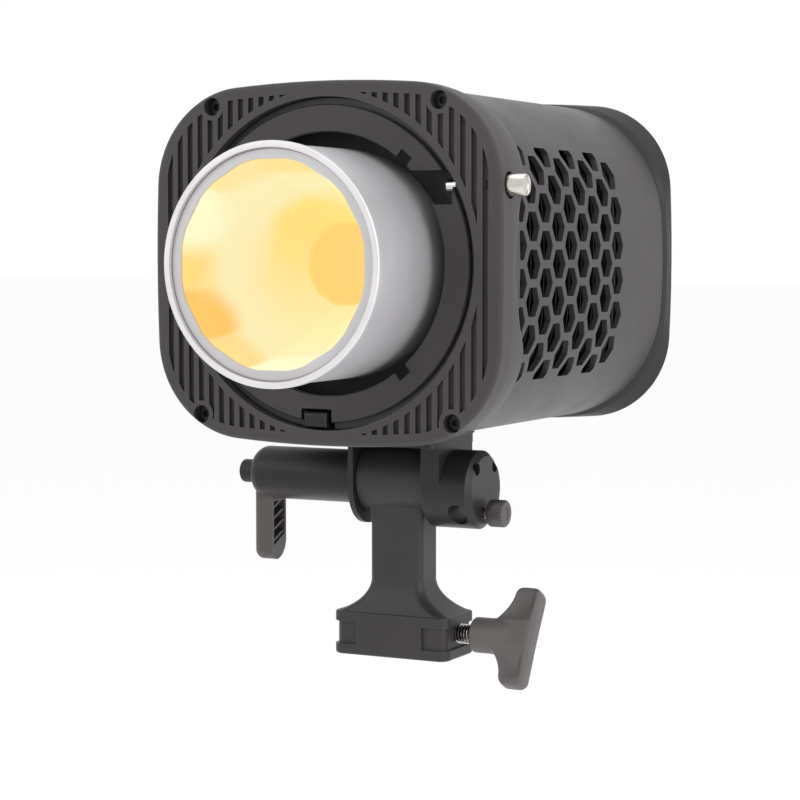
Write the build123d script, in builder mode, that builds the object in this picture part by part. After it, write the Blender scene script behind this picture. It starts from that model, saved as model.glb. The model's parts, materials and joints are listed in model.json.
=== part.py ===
"""LED studio spotlight: a round-cornered lamp head on a tilt bracket for a 16 mm stand spigot.

Frame: +Z up, the lamp looks along -Y, and the origin is the middle of the spigot socket's mouth.
All sizes are in millimetres.
"""

import os
from math import cos, radians, sin, sqrt

from build123d import *

os.makedirs("parts", exist_ok=True)

# ---------------------------------------------------------------- driving dimensions
running_gap = 0.05  # radial clearance of a turning or sliding fit

# stand block and stem
socket_radius = 8.1
socket_depth = 24
block_length = 51
block_depth = 28
block_height = 17.5
block_corner = 4.5
stem_width = 23
stem_depth = 17.4
stem_bottom = 31.5
stem_top = 52
clamp_height = 9.8
clamp_screw_radius = 3.95

# tilt joint
tilt_height = 70.7
knuckle_radius = 14
knuckle_half = 14.4
ear_gap = 0.7  # from the knuckle's side to an ear, filled by a friction washer
ear_radius = 15.6
ear_drop = 2.9  # the ears' centre lies this far below the tilt axis
left_ear_thickness = 2.2
right_ear_end = 36.3
bolt_radius = 4
umbrella_radius = 4.1
umbrella_x = 29.8
umbrella_height = 58.8
thumb_radius = 5.4

# head casing
axis_height = 157.2
face_y = -67.7
head_half_width = 73.6
head_half_height = 68.2
head_corner = 38
side_arc = 800
top_arc = 480
body_half_width = 73.3
body_half_height = 67.9
body_corner = 50
body_arc = 260
body_wall = 2.2
bezel_thickness = 9
body_rear_y = 98.4
cover_front_y = 99.6
cover_widest_y = 106.7
cover_rear_y = 110.2

# accessory mount and light engine
opening_radius = 62.3
ring_radius = 59.6
ring_bore = 49.3
throat_radius = 53
barrel_radius = 43.4
barrel_wall = 1.4
barrel_front_y = face_y - 40.2
bead_radius = 44.46
mouth_apothem = 37.2
mouth_radius = 38.1
facet_count = 12
mount_floor_y = -49
spreader_front_y = -45.6

# worked out from the above
ear_inner = knuckle_half + ear_gap
ear_centre = tilt_height - ear_drop
body_front_y = face_y + bezel_thickness
pad_bottom = axis_height - body_half_height - 0.4
pin_height = axis_height + 28.7
pin_y = face_y + 7.7


# ---------------------------------------------------------------- helpers
def head_plane(y):
    """Plane across the lamp's axis at depth y: X right, local Y up, facing the front."""
    return Plane(origin=(0, y, axis_height), x_dir=(1, 0, 0), z_dir=(0, -1, 0))


def side_plane(x, y=0, z=0):
    """Plane across the X axis at x, facing +X: local X is +Y and local Y is +Z."""
    return Plane(origin=(x, y, z), x_dir=(0, 1, 0), z_dir=(1, 0, 0))


def bulged_rectangle(half_width, half_height, corner, side, top):
    """Closed face of eight tangent arcs: long arcs for the sides, short ones for the corners."""
    side_centre = Vector(half_width - side, 0)
    top_centre = Vector(0, half_height - top)
    span = top_centre - side_centre
    along = ((side - corner) ** 2 - (top - corner) ** 2 + span.length**2) / (2 * span.length)
    across = sqrt((side - corner) ** 2 - along**2)
    unit = span.normalized()
    centre = side_centre + unit * along + Vector(-unit.Y, unit.X) * across
    to_side = (centre - side_centre).normalized()
    to_top = (centre - top_centre).normalized()
    side_end = side_centre + to_side * side
    top_end = top_centre + to_top * top
    middle = centre + (to_side + to_top).normalized() * corner
    with BuildSketch() as outline:
        with BuildLine():
            for sx, sy in ((1, 1), (-1, 1), (-1, -1), (1, -1)):
                ThreePointArc(
                    (sx * side_end.X, sy * side_end.Y),
                    (sx * middle.X, sy * middle.Y),
                    (sx * top_end.X, sy * top_end.Y),
                )
            for sign in (1, -1):
                ThreePointArc(
                    (sign * side_end.X, -side_end.Y),
                    (sign * half_width, 0),
                    (sign * side_end.X, side_end.Y),
                )
                ThreePointArc(
                    (-top_end.X, sign * top_end.Y),
                    (0, sign * half_height),
                    (top_end.X, sign * top_end.Y),
                )
        make_face()
    return outline.sketch


def head_outline(inset=0):
    """The front bezel's outline, drawn in by inset."""
    return bulged_rectangle(
        head_half_width - inset,
        head_half_height - inset,
        head_corner - inset,
        side_arc - inset,
        top_arc - inset,
    )


def body_outline(inset=0):
    """The rounder middle casing's outline, drawn in by inset."""
    return bulged_rectangle(
        body_half_width - inset,
        body_half_height - inset,
        body_corner - inset,
        body_arc - inset,
        body_arc - inset,
    )


def save(part, name):
    """Label a finished piece and write it to its own file."""
    part.label = name
    export_step(part, f"parts/{name}.step")


# ================================================================ stand side
band_bottom = 4.2
band_height = 9.2
band_inset = 1.2
band_start = 14.5
# height, half width, half depth, corner radius
lower_flare = (
    (block_height - 0.2, 24.6, 13.2, 4.2),
    (19.6, 19.6, 12.0, 4.0),
    (22.6, 15.4, 10.6, 3.8),
    (26.6, 12.5, 9.2, 3.6),
    (stem_bottom, stem_width / 2, stem_depth / 2, 3.5),
)
upper_flare = (
    (stem_top, stem_width / 2, stem_depth / 2, 3.5),
    (56, 12.2, 8.8, 3.4),
    (60.5, 13.7, 9.2, 3.2),
    (65, 14.1, 9.6, 3),
    (tilt_height, 14.2, 9.6, 3),
)

with BuildPart() as tilt_stem:
    with BuildSketch():
        RectangleRounded(block_length, block_depth, block_corner)
    extrude(amount=block_height)
    fillet(tilt_stem.edges().group_by(Axis.Z)[0], 1.2)
    fillet(tilt_stem.edges().group_by(Axis.Z)[-1], 0.8)
    for side in (-1, 1):
        with BuildSketch(Plane.XY.offset(band_bottom)):
            with Locations((side * block_length / 2, 0)):
                Rectangle(block_length - 2 * band_start, block_depth + 2)
            RectangleRounded(
                block_length - 2 * band_inset,
                block_depth - 2 * band_inset,
                block_corner - 1,
                mode=Mode.SUBTRACT,
            )
        extrude(amount=band_height, mode=Mode.SUBTRACT)
    for height, half_width, half_depth, corner in lower_flare:
        with BuildSketch(Plane.XY.offset(height)):
            RectangleRounded(2 * half_width, 2 * half_depth, corner)
    loft()
    with BuildSketch(Plane.XY.offset(stem_bottom)):
        RectangleRounded(stem_width, stem_depth, 3.5)
    extrude(amount=stem_top - stem_bottom)
    for height, half_width, half_depth, corner in upper_flare:
        with BuildSketch(Plane.XY.offset(height)):
            RectangleRounded(2 * half_width, 2 * half_depth, corner)
    loft()
    with BuildSketch(side_plane(-knuckle_half, 0, tilt_height)):
        Circle(knuckle_radius)
    extrude(amount=2 * knuckle_half)
    with BuildSketch():
        Circle(socket_radius)
    extrude(amount=socket_depth, mode=Mode.SUBTRACT)
    with BuildSketch(side_plane(0, 0, clamp_height)):
        Circle(clamp_screw_radius + running_gap)
    extrude(amount=block_length / 2 + 1, mode=Mode.SUBTRACT)
    with BuildSketch(side_plane(-knuckle_half - 1, 0, tilt_height)):
        Circle(bolt_radius + running_gap)
    extrude(amount=2 * knuckle_half + 2, mode=Mode.SUBTRACT)
save(tilt_stem.part, "tilt_stem")

# The clamp screw pushes a tip that doesn't turn with it.
tip_front = socket_radius + 0.25
tip_length = 5
pivot_radius = 1.5
pivot_length = 2
screw_start = tip_front + tip_length + 0.3
handle_start = 31.6
screw_end = 39.5

with BuildPart() as clamp_pad:
    with BuildSketch(side_plane(tip_front, 0, clamp_height)):
        Circle(clamp_screw_radius)
    extrude(amount=tip_length)
    with BuildSketch(side_plane(tip_front + tip_length, 0, clamp_height)):
        Circle(pivot_radius + running_gap)
    extrude(amount=-(pivot_length + 0.2), mode=Mode.SUBTRACT)
save(clamp_pad.part, "clamp_pad")

with BuildPart() as clamp_screw:
    with BuildSketch(side_plane(screw_start, 0, clamp_height)):
        Circle(clamp_screw_radius)
    extrude(amount=screw_end - screw_start)
    with BuildSketch(side_plane(screw_start, 0, clamp_height)):
        Circle(pivot_radius)
    extrude(amount=-pivot_length)
save(clamp_screw.part, "clamp_screw")

handle_lean = 30
handle_half_span = 21
handle_outer_x = 57.6
handle_wing_x = 46.2
handle_neck_x = 40.4
handle_hub_radius = 7.1
handle_thickness = 10.4
lean = radians(handle_lean)
handle_plane = Plane(
    origin=(0, 0, clamp_height),
    x_dir=(1, 0, 0),
    z_dir=(0, -cos(lean), sin(lean)),
)

with BuildPart() as clamp_handle:
    with BuildSketch(side_plane(handle_start, 0, clamp_height)):
        Circle(handle_hub_radius)
    extrude(amount=handle_outer_x - 2 - handle_start)
    with BuildSketch(handle_plane):
        with BuildLine():
            Polyline(
                (handle_neck_x, -handle_hub_radius),
                (handle_neck_x, handle_hub_radius),
            )
            RadiusArc(
                (handle_neck_x, handle_hub_radius),
                (handle_wing_x, handle_half_span - 3.4),
                -11,
            )
            Polyline(
                (handle_wing_x, handle_half_span - 3.4),
                (handle_wing_x + 1.6, handle_half_span),
                (handle_outer_x, handle_half_span),
                (handle_outer_x, -handle_half_span),
                (handle_wing_x + 1.6, -handle_half_span),
                (handle_wing_x, 3.4 - handle_half_span),
            )
            RadiusArc(
                (handle_wing_x, 3.4 - handle_half_span),
                (handle_neck_x, -handle_hub_radius),
                -11,
            )
        make_face()
    extrude(amount=handle_thickness / 2, both=True)
    fillet(clamp_handle.edges().filter_by(GeomType.LINE).filter_by(Axis.X).sort_by(Axis.Z)[-2:], 2)
    fillet(clamp_handle.edges().filter_by(GeomType.LINE).filter_by(Axis.X).sort_by(Axis.Z)[:2], 2)
    with BuildSketch(side_plane(handle_start, 0, clamp_height)):
        Circle(clamp_screw_radius)
    extrude(amount=screw_end - handle_start, mode=Mode.SUBTRACT)
save(clamp_handle.part, "clamp_handle")

# ================================================================ tilt bracket
plate_half_x = 23
plate_half_y = 20
plate_bottom = tilt_height + knuckle_radius + 0.4
web_end = 23
nut_length = 6.6
nut_radius = 7.4
ear_screw_offset = (8.3, 8.8)
bracket_screw_x = 9
bracket_screw_y = 15.9
screw_shank = 2
screw_head = 3.7

with BuildPart() as tilt_bracket:
    with BuildSketch(Plane.XY.offset(plate_bottom)):
        RectangleRounded(2 * plate_half_x, 2 * plate_half_y, 5)
    extrude(amount=pad_bottom - plate_bottom)
    for start, thickness in (
        (-ear_inner - left_ear_thickness, left_ear_thickness),
        (ear_inner, web_end - ear_inner),
    ):
        with BuildSketch(side_plane(start, 0, ear_centre)):
            Circle(ear_radius)
            with Locations((0, (plate_bottom - ear_centre) / 2 + 0.5)):
                Rectangle(2 * ear_radius, plate_bottom - ear_centre + 1)
        extrude(amount=thickness)
    with BuildSketch(side_plane(web_end, 0, ear_centre)):
        Circle(ear_radius)
    extrude(amount=right_ear_end - web_end)
    chamfer(tilt_bracket.edges().filter_by(GeomType.CIRCLE).sort_by(Axis.X)[-1], 2.2)
    with BuildSketch(side_plane(-ear_inner - left_ear_thickness - 1, 0, tilt_height)):
        Circle(bolt_radius + running_gap)
    extrude(amount=left_ear_thickness + 1 + ear_inner + 32, mode=Mode.SUBTRACT)
    with BuildSketch(side_plane(ear_inner, 0, tilt_height)):
        RegularPolygon(nut_radius + 0.1, 6)
    extrude(amount=nut_length + 0.2, mode=Mode.SUBTRACT)
    with BuildSketch(Plane(origin=(umbrella_x, 0, umbrella_height), z_dir=(0, 1, 0))):
        Circle(umbrella_radius)
    extrude(amount=ear_radius + 1, both=True, mode=Mode.SUBTRACT)
    with BuildSketch(side_plane(umbrella_x, 0, umbrella_height)):
        Circle(2.45)
    extrude(amount=right_ear_end - umbrella_x + 1, mode=Mode.SUBTRACT)
    with BuildSketch(side_plane(right_ear_end, 0, ear_centre)):
        with Locations((-ear_screw_offset[0], ear_screw_offset[1]), ear_screw_offset):
            Circle(2.5)
    extrude(amount=-7, mode=Mode.SUBTRACT)
    with Locations(Plane.XY.offset(plate_bottom).rotated((180, 0, 0))):
        with GridLocations(2 * bracket_screw_x, 2 * bracket_screw_y, 2, 2):
            CounterSinkHole(screw_shank + 0.05, screw_head + 0.1, 10)
save(tilt_bracket.part, "tilt_bracket")

with BuildPart() as ear_screws:
    with BuildSketch(side_plane(right_ear_end - 7, 0, ear_centre)):
        with Locations((-ear_screw_offset[0], ear_screw_offset[1]), ear_screw_offset):
            Circle(2.45)
    extrude(amount=4)
    with BuildSketch(side_plane(right_ear_end - 3, 0, ear_centre)):
        with Locations((-ear_screw_offset[0], ear_screw_offset[1]), ear_screw_offset):
            RegularPolygon(1.3, 6)
    extrude(amount=-2, mode=Mode.SUBTRACT)
save(ear_screws.part, "ear_screws")

with BuildPart() as bracket_screws:
    with Locations((0, 0, plate_bottom + 0.1)):
        with GridLocations(2 * bracket_screw_x, 2 * bracket_screw_y, 2, 2):
            Cone(
                screw_head,
                screw_shank,
                screw_head - screw_shank,
                align=(Align.CENTER, Align.CENTER, Align.MIN),
            )
            Cylinder(screw_shank, 10, align=(Align.CENTER, Align.CENTER, Align.MIN))
save(bracket_screws.part, "bracket_screws")

# The bolt draws the left ear and the captive nut together through the friction washers.
left_ear_face = -ear_inner - left_ear_thickness
drum_radius = 6.2
drum_length = 5.1
stud_radius = 2.5
bolt_end = 30
hub_radius = 10.8
hub_start = left_ear_face - 0.4
hub_end = -67.8
cap_radius = 4.8
cap_end = -74.5
cap_start = -60
shoulder = -36
lever_travel = 5.5

with BuildPart() as tilt_bolt:
    with BuildSketch(side_plane(bolt_end, 0, tilt_height)):
        Circle(bolt_radius)
    extrude(amount=left_ear_face - bolt_end)
    with BuildSketch(side_plane(left_ear_face - 0.05, 0, tilt_height)):
        RegularPolygon(drum_radius, 12)
    extrude(amount=-drum_length)
    with BuildSketch(side_plane(left_ear_face, 0, tilt_height)):
        Circle(stud_radius)
    extrude(amount=-66 - left_ear_face)
save(tilt_bolt.part, "tilt_bolt")

with BuildPart() as tilt_nut:
    with BuildSketch(side_plane(ear_inner + 0.1, 0, tilt_height)):
        RegularPolygon(nut_radius, 6)
        Circle(bolt_radius + 0.04, mode=Mode.SUBTRACT)
    extrude(amount=nut_length)
save(tilt_nut.part, "tilt_nut")

with BuildPart() as friction_washers:
    for start in (knuckle_half, -knuckle_half - ear_gap + 0.1):
        with BuildSketch(side_plane(start, 0, tilt_height)):
            Circle(13.4)
            Circle(bolt_radius + 0.15, mode=Mode.SUBTRACT)
        extrude(amount=ear_gap - 0.1)
save(friction_washers.part, "friction_washers")

grip_inner_x = -57.8
grip_half_depth = 5.6
grip_bottom = 34.6
grip_pocket_depth = 7.6
rib_pitch = 4.6

with BuildPart() as tilt_lever:
    with BuildSketch(side_plane(hub_start, 0, tilt_height)):
        Circle(hub_radius)
    extrude(amount=hub_end - hub_start)
    fillet(tilt_lever.edges().filter_by(GeomType.CIRCLE).sort_by(Axis.X)[0], 6)
    fillet(tilt_lever.edges().filter_by(GeomType.CIRCLE).sort_by(Axis.X)[-1], 0.8)
    with BuildSketch(side_plane(grip_inner_x, 0, 0)):
        with BuildLine():
            Polyline(
                (-grip_half_depth, tilt_height),
                (-grip_half_depth, grip_bottom + 4),
            )
            ThreePointArc(
                (-grip_half_depth, grip_bottom + 4),
                (-grip_half_depth + 1.6, grip_bottom + 0.9),
                (-grip_half_depth + 4.2, grip_bottom),
            )
            ThreePointArc(
                (-grip_half_depth + 4.2, grip_bottom),
                (grip_half_depth - 1.7, grip_bottom + 3.2),
                (grip_half_depth, grip_bottom + 9),
            )
            Polyline(
                (grip_half_depth, grip_bottom + 9),
                (grip_half_depth, tilt_height),
                (-grip_half_depth, tilt_height),
            )
        make_face()
    extrude(amount=hub_end + 0.6 - grip_inner_x)
    grip_edges = tilt_lever.edges().filter_by(Axis.Z).sort_by(Axis.X)[:2]
    fillet(grip_edges, 3.4)
    with BuildSketch(side_plane(grip_inner_x, 0, 0)):
        with BuildLine():
            Polyline(
                (-grip_half_depth + 1.1, tilt_height - hub_radius - 1),
                (-grip_half_depth + 1.1, grip_bottom + 6),
                (grip_half_depth - 1.1, grip_bottom + 10.5),
                (grip_half_depth - 1.1, tilt_height - hub_radius - 1),
                close=True,
            )
        make_face()
    extrude(amount=-grip_pocket_depth, mode=Mode.SUBTRACT)
    for index in range(4):
        rib_z = grip_bottom + 9.6 + rib_pitch * index
        with BuildSketch(side_plane(grip_inner_x - 0.5, 0, rib_z)):
            with Locations(Rotation(0, 0, 24)):
                Rectangle(2 * grip_half_depth, 0.9)
            with Locations((0, 0)):
                Rectangle(2 * grip_half_depth - 1.2, 8, mode=Mode.INTERSECT)
        extrude(amount=-grip_pocket_depth + 0.2)
    with BuildSketch(side_plane(hub_start + 1, 0, tilt_height)):
        RegularPolygon(drum_radius + 0.12, 12)
    extrude(amount=-6.7, mode=Mode.SUBTRACT)
    with BuildSketch(side_plane(hub_start - 5.5, 0, tilt_height)):
        Circle(drum_radius + 0.4)
    extrude(amount=-10.3, mode=Mode.SUBTRACT)
    with BuildSketch(side_plane(shoulder + 3, 0, tilt_height)):
        Circle(stud_radius + 0.15)
    extrude(amount=-4, mode=Mode.SUBTRACT)
    with BuildSketch(side_plane(shoulder, 0, tilt_height)):
        Circle(cap_radius + 0.2)
    extrude(amount=hub_end - 1 - shoulder, mode=Mode.SUBTRACT)
save(tilt_lever.part, "tilt_lever")

with BuildPart() as lever_cap:
    with BuildSketch(side_plane(cap_start, 0, tilt_height)):
        Circle(cap_radius)
    extrude(amount=cap_end - cap_start)
    fillet(lever_cap.edges().filter_by(GeomType.CIRCLE).sort_by(Axis.X)[0], 1)
    with BuildSketch(side_plane(cap_start, 0, tilt_height)):
        Circle(stud_radius)
    extrude(amount=-6, mode=Mode.SUBTRACT)
save(lever_cap.part, "lever_cap")


def coil_spring(start, direction, length, radius, wire, turns):
    """Helical spring from start along direction, one solid."""
    path = Helix(length / turns, length, radius, center=start, direction=direction)
    section = Plane(origin=path @ 0, z_dir=path % 0) * Circle(wire / 2)
    return sweep(section, path=path)


lever_coil = coil_spring((cap_start + 0.7, 0, tilt_height), (1, 0, 0), 22.6, 3.8, 0.9, 8)
with BuildPart() as lever_spring:
    add(lever_coil)
save(lever_spring.part, "lever_spring")

# umbrella socket's thumb screw and tip
thumb_start = 38.3
thumb_end = 45.2
tip_start = umbrella_x + umbrella_radius + 0.15

with BuildPart() as umbrella_pad:
    with BuildSketch(side_plane(tip_start, 0, umbrella_height)):
        Circle(2.4)
    extrude(amount=1)
save(umbrella_pad.part, "umbrella_pad")

with BuildPart() as umbrella_screw:
    with BuildSketch(side_plane(tip_start + 1.3, 0, umbrella_height)):
        Circle(2.4)
    extrude(amount=thumb_start + 0.5 - tip_start - 1.3)
    with BuildSketch(side_plane(thumb_start, 0, umbrella_height)):
        Circle(thumb_radius)
    extrude(amount=thumb_end - thumb_start)
    chamfer(umbrella_screw.edges().filter_by(GeomType.CIRCLE).sort_by(Axis.X)[-1], 0.6)
save(umbrella_screw.part, "umbrella_screw")

# ================================================================ head casing
# depth behind the front face, inset of the outline
bezel_skirt = ((1.4, 0), (9, 0), (14, 0.35), (19, 0.95), (23, 1.7), (27, 2.8))
bezel_screw_places = ((-48, 59.7), (48, 59.7), (53.4, -57.8), (-53.4, -57.8))
screw_pocket_depth = 3.6
groove_pitch = 4.5
groove_width = 2.4
groove_first = 17.25
groove_count = 12
groove_depth = 2
groove_edge = 4.6
groove_bore = 65
pin_radius = 2.4
pin_chamber = 6
pin_mouth = 5
bush_start = 66
bush_end = 68.5
screw_boss_radius = 3.6
front_wall = 6

with BuildPart() as front_bezel:
    with BuildSketch(head_plane(face_y)):
        add(head_outline(1.4))
    with BuildSketch(head_plane(face_y + 0.5)):
        add(head_outline(0.4))
    with BuildSketch(head_plane(face_y + 1.4)):
        add(head_outline())
    loft(ruled=True)
    with BuildSketch(head_plane(face_y + bezel_skirt[0][0])):
        add(head_outline())
    extrude(amount=-(bezel_skirt[1][0] - bezel_skirt[0][0]))
    for depth, inset in bezel_skirt[1:]:
        with BuildSketch(head_plane(face_y + depth)):
            add(head_outline(inset))
    loft()
    with BuildSketch(head_plane(body_front_y)):
        add(body_outline(-0.15))
    extrude(amount=-30, mode=Mode.SUBTRACT)
    with BuildSketch(head_plane(body_front_y)):
        with Locations(*bezel_screw_places):
            Circle(screw_boss_radius + 0.15)
    extrude(amount=-front_wall - 0.15, mode=Mode.SUBTRACT)
    with BuildSketch(head_plane(face_y)):
        Circle(opening_radius)
    extrude(amount=-bezel_thickness, mode=Mode.SUBTRACT)
    with BuildSketch(head_plane(face_y)) as grooves:
        for index in range(groove_count):
            for side in (-1, 1):
                with Locations((side * (groove_first + groove_pitch * index), 0)):
                    Rectangle(groove_width, 2 * head_half_height)
        add(head_outline(groove_edge), mode=Mode.INTERSECT)
        Circle(groove_bore, mode=Mode.SUBTRACT)
        with Locations(*bezel_screw_places):
            Circle(5.2, mode=Mode.SUBTRACT)
    extrude(amount=-groove_depth, mode=Mode.SUBTRACT)
    with BuildSketch(head_plane(face_y)):
        with Locations(*bezel_screw_places):
            Circle(3.5)
    extrude(amount=-screw_pocket_depth - 2.8, mode=Mode.SUBTRACT)
    with BuildSketch(head_plane(face_y)):
        with Locations(*bezel_screw_places):
            Circle(1.8)
    extrude(amount=-bezel_thickness, mode=Mode.SUBTRACT)
    with BuildSketch(side_plane(52, pin_y, pin_height)):
        Circle(pin_chamber)
    extrude(amount=bush_end - 52, mode=Mode.SUBTRACT)
    with BuildSketch(side_plane(bush_end, pin_y, pin_height)):
        Circle(pin_mouth)
    extrude(amount=10, mode=Mode.SUBTRACT)
save(front_bezel.part, "front_bezel")

with BuildPart() as bezel_screws:
    with BuildSketch(head_plane(face_y + screw_pocket_depth)):
        with Locations(*bezel_screw_places):
            Circle(2.75)
    extrude(amount=-2.8)
    with BuildSketch(head_plane(face_y + screw_pocket_depth)):
        with Locations(*bezel_screw_places):
            RegularPolygon(1.6, 6)
    extrude(amount=-1.6, mode=Mode.SUBTRACT)
    with BuildSketch(head_plane(face_y + screw_pocket_depth + 2.8)):
        with Locations(*bezel_screw_places):
            Circle(1.7)
    extrude(amount=-8)
save(bezel_screws.part, "bezel_screws")

hex_pitch = 14
hex_flats = 11
hex_column = hex_pitch * sqrt(3) / 2
hex_first_y = -38.9
hex_last = 7
hex_limit_z = 44
hex_limit_y = -51.4
post_places = ((-54, 38), (54, 38), (54, -38), (-54, -38))


def vent_pattern():
    """Staggered hexagons with flat tops, clipped to the grille's rectangle, in (y, z)."""
    with BuildSketch() as pattern:
        for column in range(-1, hex_last + 1):
            y = hex_first_y + hex_column * column
            rows = range(-3, 4) if column % 2 == 0 else range(-3, 3)
            shift = 0 if column % 2 == 0 else hex_pitch / 2
            with Locations(*[(y, hex_pitch * row + shift) for row in rows]):
                RegularPolygon(hex_flats / 2, 6, major_radius=False, rotation=0)
        with Locations((hex_limit_y, 0)):
            Rectangle(
                120,
                2 * hex_limit_z,
                align=(Align.MIN, Align.CENTER),
                mode=Mode.INTERSECT,
            )
        fillet(pattern.vertices(), 0.9)
    return pattern.sketch


vents = vent_pattern()

with BuildPart() as mid_housing:
    with BuildSketch(head_plane(body_front_y)):
        add(body_outline())
    extrude(amount=body_front_y - body_rear_y)
    with BuildSketch(head_plane(body_front_y)):
        with Locations(*bezel_screw_places):
            Circle(screw_boss_radius)
    extrude(amount=-front_wall)
    with BuildSketch(Plane.XY.offset(pad_bottom)):
        RectangleRounded(2 * plate_half_x + 1, 2 * plate_half_y + 1, 5)
    extrude(amount=8)
    with BuildSketch(head_plane(body_front_y + front_wall)):
        add(body_outline(body_wall))
    extrude(amount=-200, mode=Mode.SUBTRACT)
    with BuildSketch(Plane.XY.offset(pad_bottom)):
        RectangleRounded(2 * plate_half_x + 1, 2 * plate_half_y + 1, 5)
    extrude(amount=6)
    with BuildSketch(head_plane(body_front_y)):
        Circle(opening_radius - 0.3)
        with Locations(*bezel_screw_places):
            Circle(1.75)
        with Locations(*post_places):
            Circle(1.5)
    extrude(amount=-front_wall, mode=Mode.SUBTRACT)
    for side in (-1, 1):
        with BuildSketch(side_plane(side * 60, 0, axis_height)):
            add(vents)
        extrude(amount=side * 20, mode=Mode.SUBTRACT)
    with BuildSketch(side_plane(52, pin_y, pin_height)):
        Circle(pin_chamber)
    extrude(amount=bush_end - 52, mode=Mode.SUBTRACT)
    with BuildSketch(side_plane(bush_end, pin_y, pin_height)):
        Circle(pin_mouth)
    extrude(amount=10, mode=Mode.SUBTRACT)
    with Locations((0, 0, pad_bottom)):
        with GridLocations(2 * bracket_screw_x, 2 * bracket_screw_y, 2, 2):
            Cylinder(screw_shank + 0.03, 16, mode=Mode.SUBTRACT)
save(mid_housing.part, "mid_housing")

with BuildPart() as rear_gasket:
    with BuildSketch(head_plane(body_rear_y)):
        add(body_outline(1.4))
        add(body_outline(3.6), mode=Mode.SUBTRACT)
    extrude(amount=-(cover_front_y - body_rear_y))
save(rear_gasket.part, "rear_gasket")

cover_screw_places = ((-60, 33), (60, 33), (60, -33), (-60, -33))
frame_front_y = 92
frame_rear_y = body_rear_y
with BuildPart() as rear_frame:
    with BuildSketch(head_plane(frame_front_y)):
        add(body_outline(body_wall + 0.1))
        RectangleRounded(104, 92, 14, mode=Mode.SUBTRACT)
    extrude(amount=-(frame_rear_y - frame_front_y))
    with BuildSketch(head_plane(frame_front_y)):
        with Locations(*post_places):
            Circle(1.5)
    extrude(amount=-4, mode=Mode.SUBTRACT)
    with BuildSketch(head_plane(frame_rear_y)):
        with Locations(*cover_screw_places):
            Circle(1.7)
    extrude(amount=5, mode=Mode.SUBTRACT)
save(rear_frame.part, "rear_frame")

# ---------------------------------------------------------------- rear cover and controls
panel_size = (111, 83)
panel_recess = 1.6
panel_floor_y = cover_rear_y - panel_recess
cover_wall_y = panel_floor_y - 2
display_size = (56, 32)
display_place = (0, 18)
knob_places = {"intensity_knob": (38, 18), "colour_knob": (-38, 18)}
knob_radius = 9
button_names = ("menu_button", "mode_button")
button_row_z = -8
button_pitch = 24
button_radius = 3.9
inlet_place = (30, -28)
inlet_size = (28, 20)
switch_place = (-6, -28)
switch_size = (21, 15)
usb_place = (-34, -28)
usb_size = (9, 3.4)
button_places = [
    (button_pitch * (index - 0.5), button_row_z) for index in range(len(button_names))
]

with BuildSketch() as panel_cuts:
    with Locations(display_place):
        Rectangle(*display_size)
    with Locations(*knob_places.values()):
        Circle(4)
    with Locations(*button_places):
        Circle(button_radius + 0.2)
    with Locations(inlet_place):
        RectangleRounded(*inlet_size, 2)
    with Locations(switch_place):
        Rectangle(*switch_size)
    with Locations(usb_place):
        RectangleRounded(*usb_size, 1.2)

with BuildPart() as rear_cover:
    with BuildSketch(head_plane(cover_front_y)):
        add(body_outline(0.2))
    with BuildSketch(head_plane(cover_front_y + 1.8)):
        add(bulged_rectangle(74.1, 68.7, 47, 300, 300))
    loft(ruled=True)
    with BuildSketch(head_plane(cover_front_y + 1.8)):
        add(bulged_rectangle(74.1, 68.7, 47, 300, 300))
    with BuildSketch(head_plane(cover_widest_y)):
        add(bulged_rectangle(74.2, 68.8, 37, 700, 450))
    loft(ruled=True)
    with BuildSketch(head_plane(cover_widest_y)):
        add(bulged_rectangle(74.2, 68.8, 37, 700, 450))
    with BuildSketch(head_plane(cover_widest_y + 2)):
        add(bulged_rectangle(73.4, 68, 36.2, 699, 449))
    with BuildSketch(head_plane(cover_widest_y + 3)):
        add(bulged_rectangle(72.2, 66.8, 35, 698, 448))
    with BuildSketch(head_plane(cover_rear_y)):
        add(bulged_rectangle(70.4, 65, 33.2, 696, 446))
    loft(ruled=True)
    with BuildSketch(head_plane(cover_front_y)):
        add(body_outline(3.4))
    extrude(amount=-(cover_wall_y - cover_front_y), mode=Mode.SUBTRACT)
    with BuildSketch(head_plane(panel_floor_y)):
        RectangleRounded(*panel_size, 10)
    extrude(amount=-panel_recess, mode=Mode.SUBTRACT)
    with BuildSketch(head_plane(cover_wall_y)):
        add(panel_cuts.sketch)
    extrude(amount=-4, mode=Mode.SUBTRACT)
    with BuildSketch(head_plane(cover_wall_y)):
        with Locations(*cover_screw_places):
            Circle(4.2)
    extrude(amount=cover_wall_y - body_rear_y)
    with BuildSketch(head_plane(cover_rear_y)):
        with Locations(*cover_screw_places):
            Circle(3.2)
    extrude(amount=3, mode=Mode.SUBTRACT)
    with BuildSketch(head_plane(cover_rear_y)):
        with Locations(*cover_screw_places):
            Circle(1.8)
    extrude(amount=20, mode=Mode.SUBTRACT)
save(rear_cover.part, "rear_cover")

with BuildPart() as rear_screws:
    with BuildSketch(head_plane(cover_rear_y - 3)):
        with Locations(*cover_screw_places):
            Circle(2.8)
    extrude(amount=-2.4)
    with BuildSketch(head_plane(cover_rear_y - 0.6)):
        with Locations(*cover_screw_places):
            RegularPolygon(1.5, 6)
    extrude(amount=1.4, mode=Mode.SUBTRACT)
    with BuildSketch(head_plane(cover_rear_y - 3)):
        with Locations(*cover_screw_places):
            Circle(1.7)
    extrude(amount=13)
save(rear_screws.part, "rear_screws")

with BuildPart() as control_panel:
    with BuildSketch(head_plane(panel_floor_y)):
        RectangleRounded(panel_size[0] - 0.6, panel_size[1] - 0.6, 9.7)
        add(panel_cuts.sketch, mode=Mode.SUBTRACT)
    extrude(amount=-(panel_recess - 0.2))
save(control_panel.part, "control_panel")

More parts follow.
